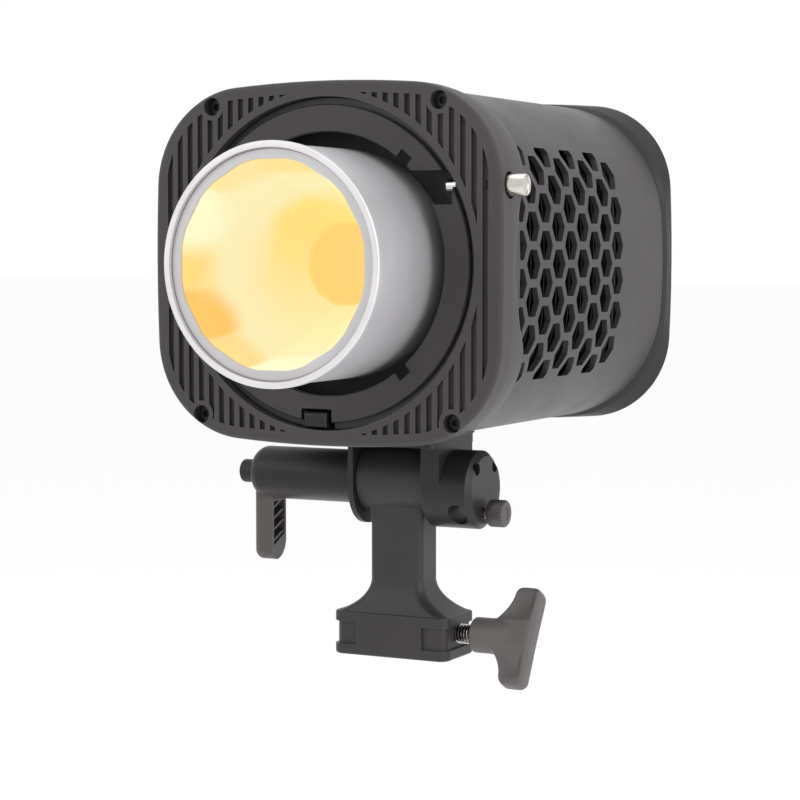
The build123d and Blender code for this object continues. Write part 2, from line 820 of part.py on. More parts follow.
with BuildPart() as display_window:
    with BuildSketch(head_plane(cover_wall_y + 0.2)):
        with Locations(display_place):
            Rectangle(display_size[0] - 0.4, display_size[1] - 0.4)
    extrude(amount=-(cover_rear_y - 0.4 - cover_wall_y - 0.2))
save(display_window.part, "display_window")

board_y = cover_front_y + 0.4
board_thickness = 1.6
with BuildPart() as control_board:
    with BuildSketch(head_plane(board_y)):
        with Locations((0, 12)):
            RectangleRounded(104, 54, 3)
    extrude(amount=-board_thickness)
save(control_board.part, "control_board")

with BuildPart() as encoders:
    with BuildSketch(head_plane(board_y + board_thickness)):
        with Locations(*knob_places.values()):
            Rectangle(13, 13)
            Circle(3, mode=Mode.SUBTRACT)
    extrude(amount=-4)
save(encoders.part, "encoders")

for name, place in knob_places.items():
    with BuildPart() as knob:
        with BuildSketch(head_plane(cover_rear_y + 0.5)):
            with Locations(place):
                Circle(knob_radius)
        extrude(amount=-9)
        chamfer(knob.edges().filter_by(GeomType.CIRCLE).sort_by(Axis.Y)[-1], 1.2)
        with BuildSketch(head_plane(cover_rear_y + 0.5)):
            with Locations(place):
                Circle(2.95)
        extrude(amount=cover_rear_y + 0.5 - board_y - board_thickness - 0.5)
    save(knob.part, name)

for name, place in zip(button_names, button_places):
    with BuildPart() as button:
        with BuildSketch(head_plane(cover_rear_y + 1)):
            with Locations(place):
                Circle(button_radius)
        extrude(amount=cover_rear_y + 1 - cover_wall_y + 1.8)
        with BuildSketch(head_plane(cover_wall_y - 0.3)):
            with Locations(place):
                Circle(5.2)
        extrude(amount=1.5)
    save(button.part, name)

inlet_front_y = 92.5
with BuildPart() as power_inlet:
    with BuildSketch(head_plane(cover_rear_y - 0.2)):
        with Locations(inlet_place):
            RectangleRounded(inlet_size[0] - 0.3, inlet_size[1] - 0.3, 1.9)
    extrude(amount=cover_rear_y - 0.2 - inlet_front_y)
    with BuildSketch(head_plane(cover_rear_y - 0.2)):
        with Locations(inlet_place):
            RectangleRounded(inlet_size[0] - 3, inlet_size[1] - 3, 3)
    extrude(amount=14.5, mode=Mode.SUBTRACT)
save(power_inlet.part, "power_inlet")

with BuildPart() as inlet_pins:
    with BuildSketch(head_plane(cover_rear_y - 14.7)):
        with Locations(inlet_place):
            with Locations((-7, -1.5), (0, 3), (7, -1.5)):
                Rectangle(2, 4)
    extrude(amount=-9)
save(inlet_pins.part, "inlet_pins")

switch_half = (switch_size[0] / 2, switch_size[1] / 2)
rocker_pivot_y = cover_rear_y - 3
with BuildPart() as switch_frame:
    with BuildSketch(head_plane(cover_rear_y + 0.6)):
        with Locations(switch_place):
            Rectangle(switch_size[0] - 0.3, switch_size[1] - 0.3)
            Rectangle(switch_size[0] - 3, switch_size[1] - 3, mode=Mode.SUBTRACT)
    extrude(amount=cover_rear_y + 0.6 - 98)
    with BuildSketch(head_plane(98)):
        with Locations(switch_place):
            Rectangle(switch_size[0] - 0.3, switch_size[1] - 0.3)
    extrude(amount=4)
    with BuildSketch(
        side_plane(switch_place[0] - 10.2, rocker_pivot_y, axis_height + switch_place[1])
    ):
        Circle(1.5)
    extrude(amount=20.4, mode=Mode.SUBTRACT)
save(switch_frame.part, "switch_frame")

with BuildPart() as power_rocker:
    with BuildSketch(side_plane(switch_place[0] - 8.7, 0, axis_height + switch_place[1])):
        with BuildLine():
            Polyline(
                (rocker_pivot_y - 4, -2.5),
                (rocker_pivot_y + 2.4, -5.3),
                (rocker_pivot_y + 3.8, -5.3),
                (rocker_pivot_y + 2.6, 0),
                (rocker_pivot_y + 3.8, 5.3),
                (rocker_pivot_y + 2.4, 5.3),
                (rocker_pivot_y - 4, 2.5),
                close=True,
            )
        make_face()
    extrude(amount=17.4)
    with BuildSketch(
        side_plane(switch_place[0] - 10.2, rocker_pivot_y, axis_height + switch_place[1])
    ):
        Circle(1.5 - running_gap)
    extrude(amount=20.4)
save(power_rocker.part, "power_rocker")

with BuildPart() as usb_port:
    with BuildSketch(head_plane(cover_rear_y - 0.3)):
        with Locations(usb_place):
            RectangleRounded(usb_size[0] - 0.1, usb_size[1] - 0.1, 1.1)
    extrude(amount=8)
    with BuildSketch(head_plane(cover_rear_y - 0.3)):
        with Locations(usb_place):
            RectangleRounded(usb_size[0] - 0.9, usb_size[1] - 0.9, 0.8)
    extrude(amount=6.5, mode=Mode.SUBTRACT)
save(usb_port.part, "usb_port")

# ================================================================ accessory mount
ring_front_y = face_y + 2.2
ring_lip = 2.6
ring_back_y = ring_front_y + 5
notch_angles = (40, 141, 262)  # clockwise from the top, seen from the front
slot_x = (34, 52.5)
slot_z = (21.8, 34.4)
slot_back_y = -57.2
detent_x = (-10.5, 2.5)
detent_z = (-62.5, -54.3)
detent_back_y = -57.5


def front_box(x_range, z_range):
    """Rectangle face in a head plane, spanning x_range and z_range about the lamp's axis."""
    with BuildSketch() as box:
        with Locations(((x_range[0] + x_range[1]) / 2, (z_range[0] + z_range[1]) / 2)):
            Rectangle(x_range[1] - x_range[0], z_range[1] - z_range[0])
    return box.sketch


with BuildPart() as mount_ring:
    with BuildSketch(head_plane(ring_front_y)):
        Circle(ring_radius)
        Circle(ring_bore, mode=Mode.SUBTRACT)
    extrude(amount=-ring_lip)
    chamfer(mount_ring.edges().filter_by(GeomType.CIRCLE).sort_by(Axis.Y)[:2], 0.5)
    with BuildSketch(head_plane(ring_front_y + ring_lip)):
        Circle(opening_radius - 0.4)
        Circle(throat_radius, mode=Mode.SUBTRACT)
    extrude(amount=ring_lip + ring_front_y - ring_back_y)
    with BuildSketch(head_plane(ring_front_y)):
        for angle in notch_angles:
            with Locations(Rotation(0, 0, 90 - angle)):
                with Locations((ring_bore + 0.8, 0)):
                    Rectangle(6, 5.6)
        add(front_box(slot_x, slot_z))
        add(front_box(detent_x, detent_z))
    extrude(amount=-10, mode=Mode.SUBTRACT)
    with BuildSketch(side_plane(45, pin_y, pin_height)):
        Circle(pin_radius + 0.2)
    extrude(amount=15, mode=Mode.SUBTRACT)
save(mount_ring.part, "mount_ring")

cup_back_y = mount_floor_y + 3
with BuildPart() as mount_housing:
    with BuildSketch(head_plane(ring_back_y)):
        Circle(opening_radius - 0.5)
    extrude(amount=ring_back_y - cup_back_y)
    with BuildSketch(head_plane(ring_back_y)):
        Circle(throat_radius)
    extrude(amount=ring_back_y - mount_floor_y, mode=Mode.SUBTRACT)
    with BuildSketch(head_plane(ring_back_y)):
        Circle(barrel_radius + running_gap)
    extrude(amount=-30, mode=Mode.SUBTRACT)
    with BuildSketch(head_plane(slot_back_y)):
        add(front_box(slot_x, slot_z))
    extrude(amount=10, mode=Mode.SUBTRACT)
    with BuildSketch(head_plane(detent_back_y)):
        add(front_box(detent_x, detent_z))
    extrude(amount=10, mode=Mode.SUBTRACT)
    with BuildSketch(side_plane(40, pin_y, pin_height)):
        Circle(pin_radius + running_gap)
    extrude(amount=20, mode=Mode.SUBTRACT)
save(mount_housing.part, "mount_housing")

with BuildPart() as release_pin:
    with BuildSketch(side_plane(48.5, pin_y, pin_height)):
        Circle(pin_radius)
    extrude(amount=71.3 - 48.5)
    with BuildSketch(side_plane(58, pin_y, pin_height)):
        Circle(4)
    extrude(amount=1.4)
    with BuildSketch(side_plane(71, pin_y, pin_height)):
        Circle(1.5)
    extrude(amount=4.3)
save(release_pin.part, "release_pin")

with BuildPart() as release_knob:
    with BuildSketch(side_plane(71.3, pin_y, pin_height)):
        Circle(3.8)
    extrude(amount=4)
    with BuildSketch(side_plane(75.3, pin_y, pin_height)):
        Circle(3.8)
    with BuildSketch(side_plane(79.6, pin_y, pin_height)):
        Circle(4.3)
    loft()
    with BuildSketch(side_plane(79.6, pin_y, pin_height)):
        Circle(3.2)
    extrude(amount=-1, mode=Mode.SUBTRACT)
    with BuildSketch(side_plane(71.3, pin_y, pin_height)):
        Circle(1.5)
    extrude(amount=4, mode=Mode.SUBTRACT)
save(release_knob.part, "release_knob")

with BuildPart() as release_bush:
    with BuildSketch(side_plane(bush_start, pin_y, pin_height)):
        Circle(pin_chamber - 0.05)
        Circle(pin_radius + running_gap, mode=Mode.SUBTRACT)
    extrude(amount=bush_end - bush_start)
save(release_bush.part, "release_bush")

release_coil = coil_spring((59.9, pin_y, pin_height), (1, 0, 0), 5.6, 3.3, 0.6, 4)
with BuildPart() as release_spring:
    add(release_coil)
save(release_spring.part, "release_spring")

with BuildPart() as detent_tab:
    with BuildSketch(head_plane(-60.6)):
        add(front_box((detent_x[0] + 1.6, detent_x[1] - 1.6), (detent_z[0] + 1, detent_z[1] - 1.2)))
    extrude(amount=6.4)
    fillet(detent_tab.edges().group_by(Axis.Y)[0], 1.2)
save(detent_tab.part, "detent_tab")

detent_centre = (sum(detent_x) / 2, -60.3, axis_height + sum(detent_z) / 2)
detent_coil = coil_spring(detent_centre, (0, 1, 0), 2.4, 1.9, 0.4, 3)
with BuildPart() as detent_spring:
    add(detent_coil)
save(detent_spring.part, "detent_spring")

# ================================================================ reflector and light source
barrel_inner = barrel_radius - barrel_wall
lip_y = barrel_front_y + 1.6
# depth and the apothem of the twelve-sided reflector's inside
reflector_sections = (
    (lip_y + 1.2, mouth_apothem),
    (-92, 34.9),
    (-76, 30.2),
    (-62, 23.8),
    (mount_floor_y - 0.8, 15.8),
)
reflector_wall = 0.8

with BuildPart() as reflector_barrel:
    with BuildSketch(head_plane(barrel_front_y + 1.2)):
        Circle(barrel_radius)
        Circle(barrel_inner, mode=Mode.SUBTRACT)
    extrude(amount=barrel_front_y + 1.2 - cup_back_y)
    with BuildSketch(head_plane(barrel_front_y + 4)):
        Circle(bead_radius)
        Circle(barrel_inner, mode=Mode.SUBTRACT)
    extrude(amount=4)
    fillet(reflector_barrel.edges().filter_by(GeomType.CIRCLE).group_by(Axis.Y)[0][-1:], 0.3)
    bead_edges = reflector_barrel.edges().filter_by(GeomType.CIRCLE).filter_by(
        lambda edge: abs(edge.radius - bead_radius) < 0.01
    )
    fillet(bead_edges, 0.9)
save(reflector_barrel.part, "reflector_barrel")

with BuildPart() as barrel_lip:
    with BuildSketch(head_plane(lip_y)):
        Circle(barrel_inner)
        with Locations(Rotation(0, 0, 15)):
            RegularPolygon(mouth_apothem, facet_count, major_radius=False, mode=Mode.SUBTRACT)
    extrude(amount=-1.2)
save(barrel_lip.part, "barrel_lip")

with BuildPart() as faceted_reflector:
    for depth, apothem in reflector_sections:
        with BuildSketch(head_plane(depth)):
            with Locations(Rotation(0, 0, 15)):
                RegularPolygon(apothem + reflector_wall, facet_count, major_radius=False)
    loft(ruled=True)
    for depth, apothem in reflector_sections:
        with BuildSketch(head_plane(depth)):
            with Locations(Rotation(0, 0, 15)):
                RegularPolygon(apothem, facet_count, major_radius=False)
    loft(ruled=True, mode=Mode.SUBTRACT)
save(faceted_reflector.part, "faceted_reflector")

chip_size = 38
chip_front_y = spreader_front_y - 2
with BuildPart() as cob_substrate:
    with BuildSketch(head_plane(spreader_front_y)):
        Rectangle(chip_size, chip_size)
    extrude(amount=2)
save(cob_substrate.part, "cob_substrate")

with BuildPart() as cob_phosphor:
    with BuildSketch(head_plane(chip_front_y)):
        Circle(15)
    extrude(amount=0.6)
save(cob_phosphor.part, "cob_phosphor")

holder_front_y = mount_floor_y - 0.7
chip_screw_places = ((-23, 10.5), (23, -10.5))
with BuildPart() as cob_holder:
    with BuildSketch(head_plane(spreader_front_y)):
        RectangleRounded(54, 54, 4)
        Rectangle(chip_size + 0.4, chip_size + 0.4, mode=Mode.SUBTRACT)
    extrude(amount=2.1)
    with BuildSketch(head_plane(chip_front_y - 0.1)):
        RectangleRounded(54, 54, 4)
        Circle(17, mode=Mode.SUBTRACT)
    extrude(amount=chip_front_y - 0.1 - holder_front_y)
    with BuildSketch(head_plane(holder_front_y)):
        with Locations(*chip_screw_places):
            Circle(1.6)
    extrude(amount=-8, mode=Mode.SUBTRACT)
save(cob_holder.part, "cob_holder")

with BuildPart() as cob_screws:
    with BuildSketch(head_plane(holder_front_y)):
        with Locations(*chip_screw_places):
            Circle(2.8)
    extrude(amount=1.8)
    with BuildSketch(head_plane(holder_front_y)):
        with Locations(*chip_screw_places):
            Circle(1.5)
    extrude(amount=-8)
save(cob_screws.part, "cob_screws")

# ---------------------------------------------------------------- cooling
spreader_thickness = 8
pipe_radius = 3
pipe_y = spreader_front_y + spreader_thickness - 3.2
pipe_x = 46
pipe_heights = (-21, 0, 21)
pipe_end_y = 43
fin_first_y = -30
fin_pitch = 4.2
fin_count = 18
fin_thickness = 0.6
post_radius = 2.5


def heat_pipe(side, height):
    """Round tube that runs out along the spreader and turns back through the fins."""
    z = axis_height + height
    path = FilletPolyline(
        (side * 4, pipe_y, z),
        (side * pipe_x, pipe_y, z),
        (side * pipe_x, pipe_end_y, z),
        radius=11,
    )
    section = Plane(origin=path @ 0, z_dir=path % 0) * Circle(pipe_radius)
    return sweep(section, path=path)


pipes = [heat_pipe(side, height) for side in (-1, 1) for height in pipe_heights]

with BuildPart() as heat_pipes:
    add(pipes)
save(heat_pipes.part, "heat_pipes")

with BuildPart() as heat_spreader:
    with BuildSketch(head_plane(spreader_front_y)):
        RectangleRounded(88, 66, 3)
    extrude(amount=-spreader_thickness)
    with BuildSketch(head_plane(spreader_front_y)):
        with Locations(*chip_screw_places):
            Circle(1.5)
    extrude(amount=-5.5, mode=Mode.SUBTRACT)
    add(pipes, mode=Mode.SUBTRACT)
save(heat_spreader.part, "heat_spreader")

with BuildPart() as heatsink_fins:
    for index in range(fin_count):
        with BuildSketch(head_plane(fin_first_y + fin_pitch * index)):
            add(body_outline(7))
            with Locations(*[(s * pipe_x, h) for s in (-1, 1) for h in pipe_heights]):
                Circle(pipe_radius, mode=Mode.SUBTRACT)
            with Locations(*post_places):
                Circle(post_radius, mode=Mode.SUBTRACT)
        extrude(amount=-fin_thickness)
save(heatsink_fins.part, "heatsink_fins")

posts_front_y = body_front_y + front_wall
with BuildPart() as frame_posts:
    with BuildSketch(head_plane(posts_front_y)):
        with Locations(*post_places):
            Circle(post_radius)
    extrude(amount=-(frame_front_y - posts_front_y))
    with BuildSketch(head_plane(posts_front_y - 4)):
        with Locations(*post_places):
            Circle(1.5)
    extrude(amount=-(frame_front_y + 3 - posts_front_y + 4))
save(frame_posts.part, "frame_posts")

fan_front_y = 50
fan_size = 92
fan_depth = 25
fan_bore = 44
with BuildPart() as fan_shroud:
    with BuildSketch(head_plane(fan_front_y - 2)):
        add(body_outline(body_wall + 0.2))
        Circle(fan_bore, mode=Mode.SUBTRACT)
        with Locations(*post_places):
            Circle(post_radius, mode=Mode.SUBTRACT)
        with GridLocations(82.5, 82.5, 2, 2):
            Circle(1.8, mode=Mode.SUBTRACT)
    extrude(amount=-2)
save(fan_shroud.part, "fan_shroud")

with BuildPart() as fan_frame:
    with BuildSketch(head_plane(fan_front_y)):
        RectangleRounded(fan_size, fan_size, 4)
        Circle(fan_bore, mode=Mode.SUBTRACT)
        with GridLocations(82.5, 82.5, 2, 2):
            Circle(1.8, mode=Mode.SUBTRACT)
    extrude(amount=-fan_depth)
    with BuildSketch(head_plane(fan_front_y + fan_depth - 3)):
        Circle(18)
        with PolarLocations(31, 4, start_angle=45):
            Rectangle(30, 5)
    extrude(amount=-3)
    with BuildSketch(head_plane(fan_front_y + fan_depth - 3)):
        Circle(1.5)
    extrude(amount=14)
save(fan_frame.part, "fan_frame")

with BuildPart() as fan_screws:
    with BuildSketch(head_plane(fan_front_y - 2)):
        with GridLocations(82.5, 82.5, 2, 2):
            Circle(3)
    extrude(amount=1.6)
    with BuildSketch(head_plane(fan_front_y - 2)):
        with GridLocations(82.5, 82.5, 2, 2):
            Circle(1.75)
    extrude(amount=-10)
save(fan_screws.part, "fan_screws")

rotor_front_y = fan_front_y + 2
blade_count = 7
with BuildPart() as fan_rotor:
    with BuildSketch(head_plane(rotor_front_y)):
        Circle(17)
    extrude(amount=-19)
    for index in range(blade_count):
        turn = 360 / blade_count * index
        blade_plane = Plane(
            origin=(
                14 * cos(radians(turn)),
                rotor_front_y + 9.5,
                axis_height + 14 * sin(radians(turn)),
            ),
            x_dir=(0, 1, 0),
            z_dir=(cos(radians(turn)), 0, sin(radians(turn))),
        )
        with BuildSketch(blade_plane):
            with Locations(Rotation(0, 0, 38)):
                Rectangle(22, 1.3)
        extrude(amount=28)
    with BuildSketch(head_plane(rotor_front_y + 19)):
        Circle(50)
    extrude(amount=19, mode=Mode.INTERSECT)
    with BuildSketch(head_plane(rotor_front_y - 5)):
        Circle(42.6)
    extrude(amount=-40, mode=Mode.INTERSECT)
    with BuildSketch(head_plane(rotor_front_y + 19)):
        Circle(1.5 + running_gap)
    extrude(amount=13, mode=Mode.SUBTRACT)
save(fan_rotor.part, "fan_rotor")

# ---------------------------------------------------------------- power electronics
power_board_y = 77.5
with BuildPart() as power_board:
    with BuildSketch(head_plane(power_board_y)):
        RectangleRounded(100, 96, 6)
        with GridLocations(90, 86, 2, 2):
            Circle(1.6, mode=Mode.SUBTRACT)
    extrude(amount=-board_thickness)
save(power_board.part, "power_board")

with BuildPart() as power_parts:
    with BuildSketch(head_plane(power_board_y + board_thickness)):
        with Locations((-30, 24), (-10, 26)):
            Circle(8)
        with Locations((22, 20)):
            RectangleRounded(30, 26, 2)
        with Locations((-24, -22)):
            RectangleRounded(22, 20, 1)
        with Locations((12, -34), (-40, 0)):
            Rectangle(10, 14)
    extrude(amount=-10)
save(power_parts.part, "power_parts")
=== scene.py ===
"""Looks for the studio spotlight: materials, fine detail, light, floor and camera, on the CAD frame."""

import json
import math

import bmesh
import bpy
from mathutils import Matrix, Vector


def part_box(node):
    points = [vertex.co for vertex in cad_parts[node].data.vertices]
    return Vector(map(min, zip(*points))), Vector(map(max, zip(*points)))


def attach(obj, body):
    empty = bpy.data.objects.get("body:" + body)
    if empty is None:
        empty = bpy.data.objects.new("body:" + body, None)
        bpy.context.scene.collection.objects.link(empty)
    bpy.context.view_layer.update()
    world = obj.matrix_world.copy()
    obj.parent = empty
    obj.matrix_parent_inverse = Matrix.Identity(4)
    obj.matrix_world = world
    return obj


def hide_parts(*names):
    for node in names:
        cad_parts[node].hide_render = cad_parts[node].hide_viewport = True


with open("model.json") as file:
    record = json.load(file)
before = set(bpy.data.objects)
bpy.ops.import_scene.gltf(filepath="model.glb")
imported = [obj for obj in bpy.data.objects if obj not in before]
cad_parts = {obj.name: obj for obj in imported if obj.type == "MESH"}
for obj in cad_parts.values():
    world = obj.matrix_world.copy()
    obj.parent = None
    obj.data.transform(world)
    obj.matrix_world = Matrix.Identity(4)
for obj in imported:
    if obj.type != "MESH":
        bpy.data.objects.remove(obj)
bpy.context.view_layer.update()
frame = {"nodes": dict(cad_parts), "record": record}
scene = bpy.context.scene


# ---------------------------------------------------------------- material helpers
def new_material(name):
    """New node material: returns it, its tree and its shader."""
    material = bpy.data.materials.new(name)
    material.use_nodes = True
    tree = material.node_tree
    shader = tree.nodes["Principled BSDF"]
    return material, tree, shader


def node(tree, kind, **values):
    """Adds a node and sets its sockets and properties by name."""
    made = tree.nodes.new(kind)
    for key, value in values.items():
        if key in made.inputs:
            made.inputs[key].default_value = value
        else:
            setattr(made, key, value)
    return made


def coordinates(tree, scale=(1, 1, 1)):
    """Object coordinates, scaled along each axis."""
    source = node(tree, "ShaderNodeTexCoord")
    mapping = node(tree, "ShaderNodeMapping")
    mapping.inputs["Scale"].default_value = scale
    tree.links.new(source.outputs["Object"], mapping.inputs["Vector"])
    return mapping.outputs["Vector"]


def noise(tree, vector, scale, detail=3.0, roughness=0.55):
    """Noise texture's value output."""
    made = node(tree, "ShaderNodeTexNoise")
    made.inputs["Scale"].default_value = scale
    made.inputs["Detail"].default_value = detail
    made.inputs["Roughness"].default_value = roughness
    tree.links.new(vector, made.inputs["Vector"])
    return made.outputs["Fac"]


def spread(tree, value, low, high):
    """Value from 0..1 moved to low..high."""
    made = node(tree, "ShaderNodeMapRange")
    made.inputs["From Min"].default_value = 0.25
    made.inputs["From Max"].default_value = 0.75
    made.inputs["To Min"].default_value = low
    made.inputs["To Max"].default_value = high
    tree.links.new(value, made.inputs["Value"])
    return made.outputs["Result"]


def tint(tree, value, dark, light):
    """Colour between dark and light by value."""
    ramp = node(tree, "ShaderNodeValToRGB")
    ramp.color_ramp.elements[0].position = 0.3
    ramp.color_ramp.elements[0].color = (*dark, 1)
    ramp.color_ramp.elements[1].position = 0.7
    ramp.color_ramp.elements[1].color = (*light, 1)
    tree.links.new(value, ramp.inputs["Fac"])
    return ramp.outputs["Color"]


def bump(tree, height, distance, strength):
    """Bump node's normal output, distance in metres."""
    made = node(tree, "ShaderNodeBump")
    made.inputs["Strength"].default_value = strength
    made.inputs["Distance"].default_value = distance
    tree.links.new(height, made.inputs["Height"])
    return made.outputs["Normal"]


def mapped(tree, value, start, end, **settings):
    """Value from start..end moved to 0..1."""
    made = node(tree, "ShaderNodeMapRange", **settings)
    made.inputs["From Min"].default_value = start
    made.inputs["From Max"].default_value = end
    tree.links.new(value, made.inputs["Value"])
    return made.outputs["Result"]


def mixed(tree, factor, first, second):
    """Colour that goes from first to second by factor; each is a socket or a plain colour."""
    made = node(tree, "ShaderNodeMix", data_type="RGBA")
    tree.links.new(factor, made.inputs["Factor"])
    for socket, colour in (("A", first), ("B", second)):
        if isinstance(colour, tuple):
            made.inputs[socket].default_value = (*colour, 1)
        else:
            tree.links.new(colour, made.inputs[socket])
    return made.outputs["Result"]


def position(tree):
    """Object X, Y and Z as separate outputs."""
    source = node(tree, "ShaderNodeTexCoord")
    split = node(tree, "ShaderNodeSeparateXYZ")
    tree.links.new(source.outputs["Object"], split.inputs["Vector"])
    return split.outputs


def base_colour(material):
    """A material's tree, its shader and the socket that feeds its base colour."""
    tree = material.node_tree
    shader = tree.nodes["Principled BSDF"]
    return tree, shader, shader.inputs["Base Color"].links[0].from_socket


def edge_wear(tree, colour, worn, radius=0.0006, amount=0.6):
    """Colour that turns towards worn along sharp edges."""
    bevel = node(tree, "ShaderNodeBevel", samples=4)
    bevel.inputs["Radius"].default_value = radius
    plain = node(tree, "ShaderNodeNewGeometry")
    dot = node(tree, "ShaderNodeVectorMath", operation="DOT_PRODUCT")
    tree.links.new(bevel.outputs["Normal"], dot.inputs[0])
    tree.links.new(plain.outputs["Normal"], dot.inputs[1])
    edge = node(tree, "ShaderNodeMapRange")
    edge.inputs["From Min"].default_value = 0.995
    edge.inputs["From Max"].default_value = 0.8
    edge.inputs["To Min"].default_value = 0
    edge.inputs["To Max"].default_value = amount
    tree.links.new(dot.outputs["Value"], edge.inputs["Value"])
    return mixed(tree, edge.outputs["Result"], colour, worn)


def coated(name, dark, light, rough=(0.42, 0.56), grain=2600, depth=0.00004, metal=0.0,
           worn=None, specular=0.3, coat=0.0):
    """Powder-painted or moulded surface: fine grain, faint mottling and lighter worn edges."""
    material, tree, shader = new_material(name)
    vector = coordinates(tree)
    mottle = noise(tree, vector, 38, 4)
    fine = noise(tree, vector, grain, 2)
    colour = tint(tree, mottle, dark, light)
    if worn:
        colour = edge_wear(tree, colour, worn)
    tree.links.new(colour, shader.inputs["Base Color"])
    tree.links.new(spread(tree, mottle, *rough), shader.inputs["Roughness"])
    tree.links.new(bump(tree, fine, depth, 0.7), shader.inputs["Normal"])
    shader.inputs["Metallic"].default_value = metal
    shader.inputs["Specular IOR Level"].default_value = specular
    shader.inputs["Coat Weight"].default_value = coat
    shader.inputs["Coat Roughness"].default_value = 0.25
    return material


def turned(name, dark, light, rough=(0.2, 0.34), scale=(1, 1, 1), grain=900, depth=0.00001):
    """Bare metal with fine lathe or brush lines that run across the scaled axis."""
    material, tree, shader = new_material(name)
    lines = noise(tree, coordinates(tree, scale), grain, 2)
    cloud = noise(tree, coordinates(tree), 60, 3)
    tree.links.new(tint(tree, cloud, dark, light), shader.inputs["Base Color"])
    tree.links.new(spread(tree, lines, *rough), shader.inputs["Roughness"])
    tree.links.new(bump(tree, lines, depth, 0.5), shader.inputs["Normal"])
    shader.inputs["Metallic"].default_value = 1.0
    return material


def glowing(name, colour, glow, strength):
    """Finely mottled surface that gives off an even light of its own."""
    material, tree, shader = new_material(name)
    cloud = noise(tree, coordinates(tree), 300, 2)
    tree.links.new(tint(tree, cloud, [c * 0.9 for c in colour], colour), shader.inputs["Base Color"])
    shader.inputs["Roughness"].default_value = 0.6
    shader.inputs["Emission Color"].default_value = (*glow, 1)
    shader.inputs["Emission Strength"].default_value = strength
    return material


materials = {
    "charcoal_metal": coated(
        "painted_charcoal", (0.036, 0.032, 0.0335), (0.042, 0.0375, 0.039),
        rough=(0.36, 0.48), worn=(0.10, 0.093, 0.093)),
    "charcoal_front": coated(
        "painted_front", (0.043, 0.0385, 0.0405), (0.050, 0.0445, 0.047),
        rough=(0.42, 0.54), worn=(0.085, 0.078, 0.079)),
    # rear cover moulding darkened to half as painted shade, where the rear falls in shadow
    "charcoal_rear": coated(
        "moulded_rear_in_painted_shade", (0.020, 0.018, 0.0187), (0.025, 0.0225, 0.0233),
        rough=(0.4, 0.5), grain=1500, worn=(0.08, 0.074, 0.074)),
    "charcoal_plastic": coated(
        "moulded_grip", (0.092, 0.083, 0.082), (0.104, 0.094, 0.093),
        rough=(0.38, 0.5), grain=1400, depth=0.00006, worn=(0.11, 0.1, 0.096)),
    "black_plastic": coated(
        "moulded_black", (0.011, 0.010, 0.011), (0.017, 0.016, 0.016), rough=(0.4, 0.55)),
    "black_steel": coated(
        "black_oxide", (0.014, 0.013, 0.014), (0.024, 0.022, 0.022),
        rough=(0.28, 0.42), metal=0.6, worn=(0.09, 0.09, 0.09)),
    "plated_steel": turned(
        "plated_steel", (0.50, 0.48, 0.46), (0.62, 0.60, 0.57), scale=(1, 8, 8)),
    "polished_knob": turned(
        "turned_knob", (0.55, 0.52, 0.49), (0.68, 0.65, 0.61), rough=(0.16, 0.26)),
    "ring_metal": coated(
        "satin_ring", (0.044, 0.0395, 0.0415), (0.050, 0.045, 0.0475),
        rough=(0.3, 0.4), metal=0.35, worn=(0.10, 0.094, 0.093)),
    "barrel_metal": turned(
        "satin_barrel", (0.40, 0.40, 0.415), (0.45, 0.45, 0.465), rough=(0.34, 0.44),
        scale=(1, 30, 1), grain=160),
    "cooling_aluminium": turned(
        "dark_aluminium", (0.035, 0.035, 0.036), (0.05, 0.05, 0.052), rough=(0.4, 0.55)),
    "pipe_copper": turned(
        "copper_tube", (0.55, 0.26, 0.14), (0.70, 0.36, 0.20), rough=(0.25, 0.4)),
    "phosphor": glowing("phosphor_disc", (0.24, 0.16, 0.05), (1.0, 0.66, 0.19), 0.78),
    "washer_polymer": coated(
        "soft_polymer", (0.010, 0.010, 0.010), (0.015, 0.015, 0.015), rough=(0.55, 0.7)),
    "circuit_board": coated(
        "solder_mask", (0.015, 0.075, 0.035), (0.02, 0.095, 0.045), rough=(0.3, 0.42)),
    "panel_film": coated(
        "panel_film", (0.018, 0.017, 0.018), (0.024, 0.023, 0.024), rough=(0.34, 0.44)),
    "display_glass": coated(
        "display_window", (0.006, 0.007, 0.009), (0.009, 0.010, 0.012),
        rough=(0.06, 0.1), depth=0.000002, coat=0.6),
    "control_rubber": coated(
        "control_rubber", (0.040, 0.038, 0.039), (0.050, 0.048, 0.049), rough=(0.55, 0.68)),
    "control_knob": coated(
        "control_knob", (0.024, 0.022, 0.023), (0.032, 0.030, 0.031),
        rough=(0.35, 0.45), worn=(0.1, 0.1, 0.1)),
    "switch_rocker": coated(
        "switch_rocker", (0.012, 0.012, 0.012), (0.018, 0.018, 0.018), rough=(0.15, 0.22)),
}


def barrel_with_painted_root_shade():
    """Satin silver tube with a near-black band of painted shade at its root, at the bottom of the dark
    cup.
    """
    material = turned(
        "silver_barrel", (0.62, 0.605, 0.625), (0.68, 0.665, 0.685), rough=(0.40, 0.48),
        scale=(1, 30, 1), grain=160)
    tree, shader, silver = base_colour(material)
    shader.inputs["Metallic"].default_value = 0.55
    # the near-black band at the tube's root is painted shade where it meets the cup
    root_shade_width = 0.0024
    in_root_shade = node(tree, "ShaderNodeMath", operation="GREATER_THAN")
    tree.links.new(position(tree)["Y"], in_root_shade.inputs[0])
    in_root_shade.inputs[1].default_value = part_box("reflector_barrel")[1][1] - root_shade_width
    barrel_root_shaded = mixed(tree, in_root_shade.outputs["Value"], silver, (0.012, 0.011, 0.0115))
    tree.links.new(barrel_root_shaded, shader.inputs["Base Color"])
    return material


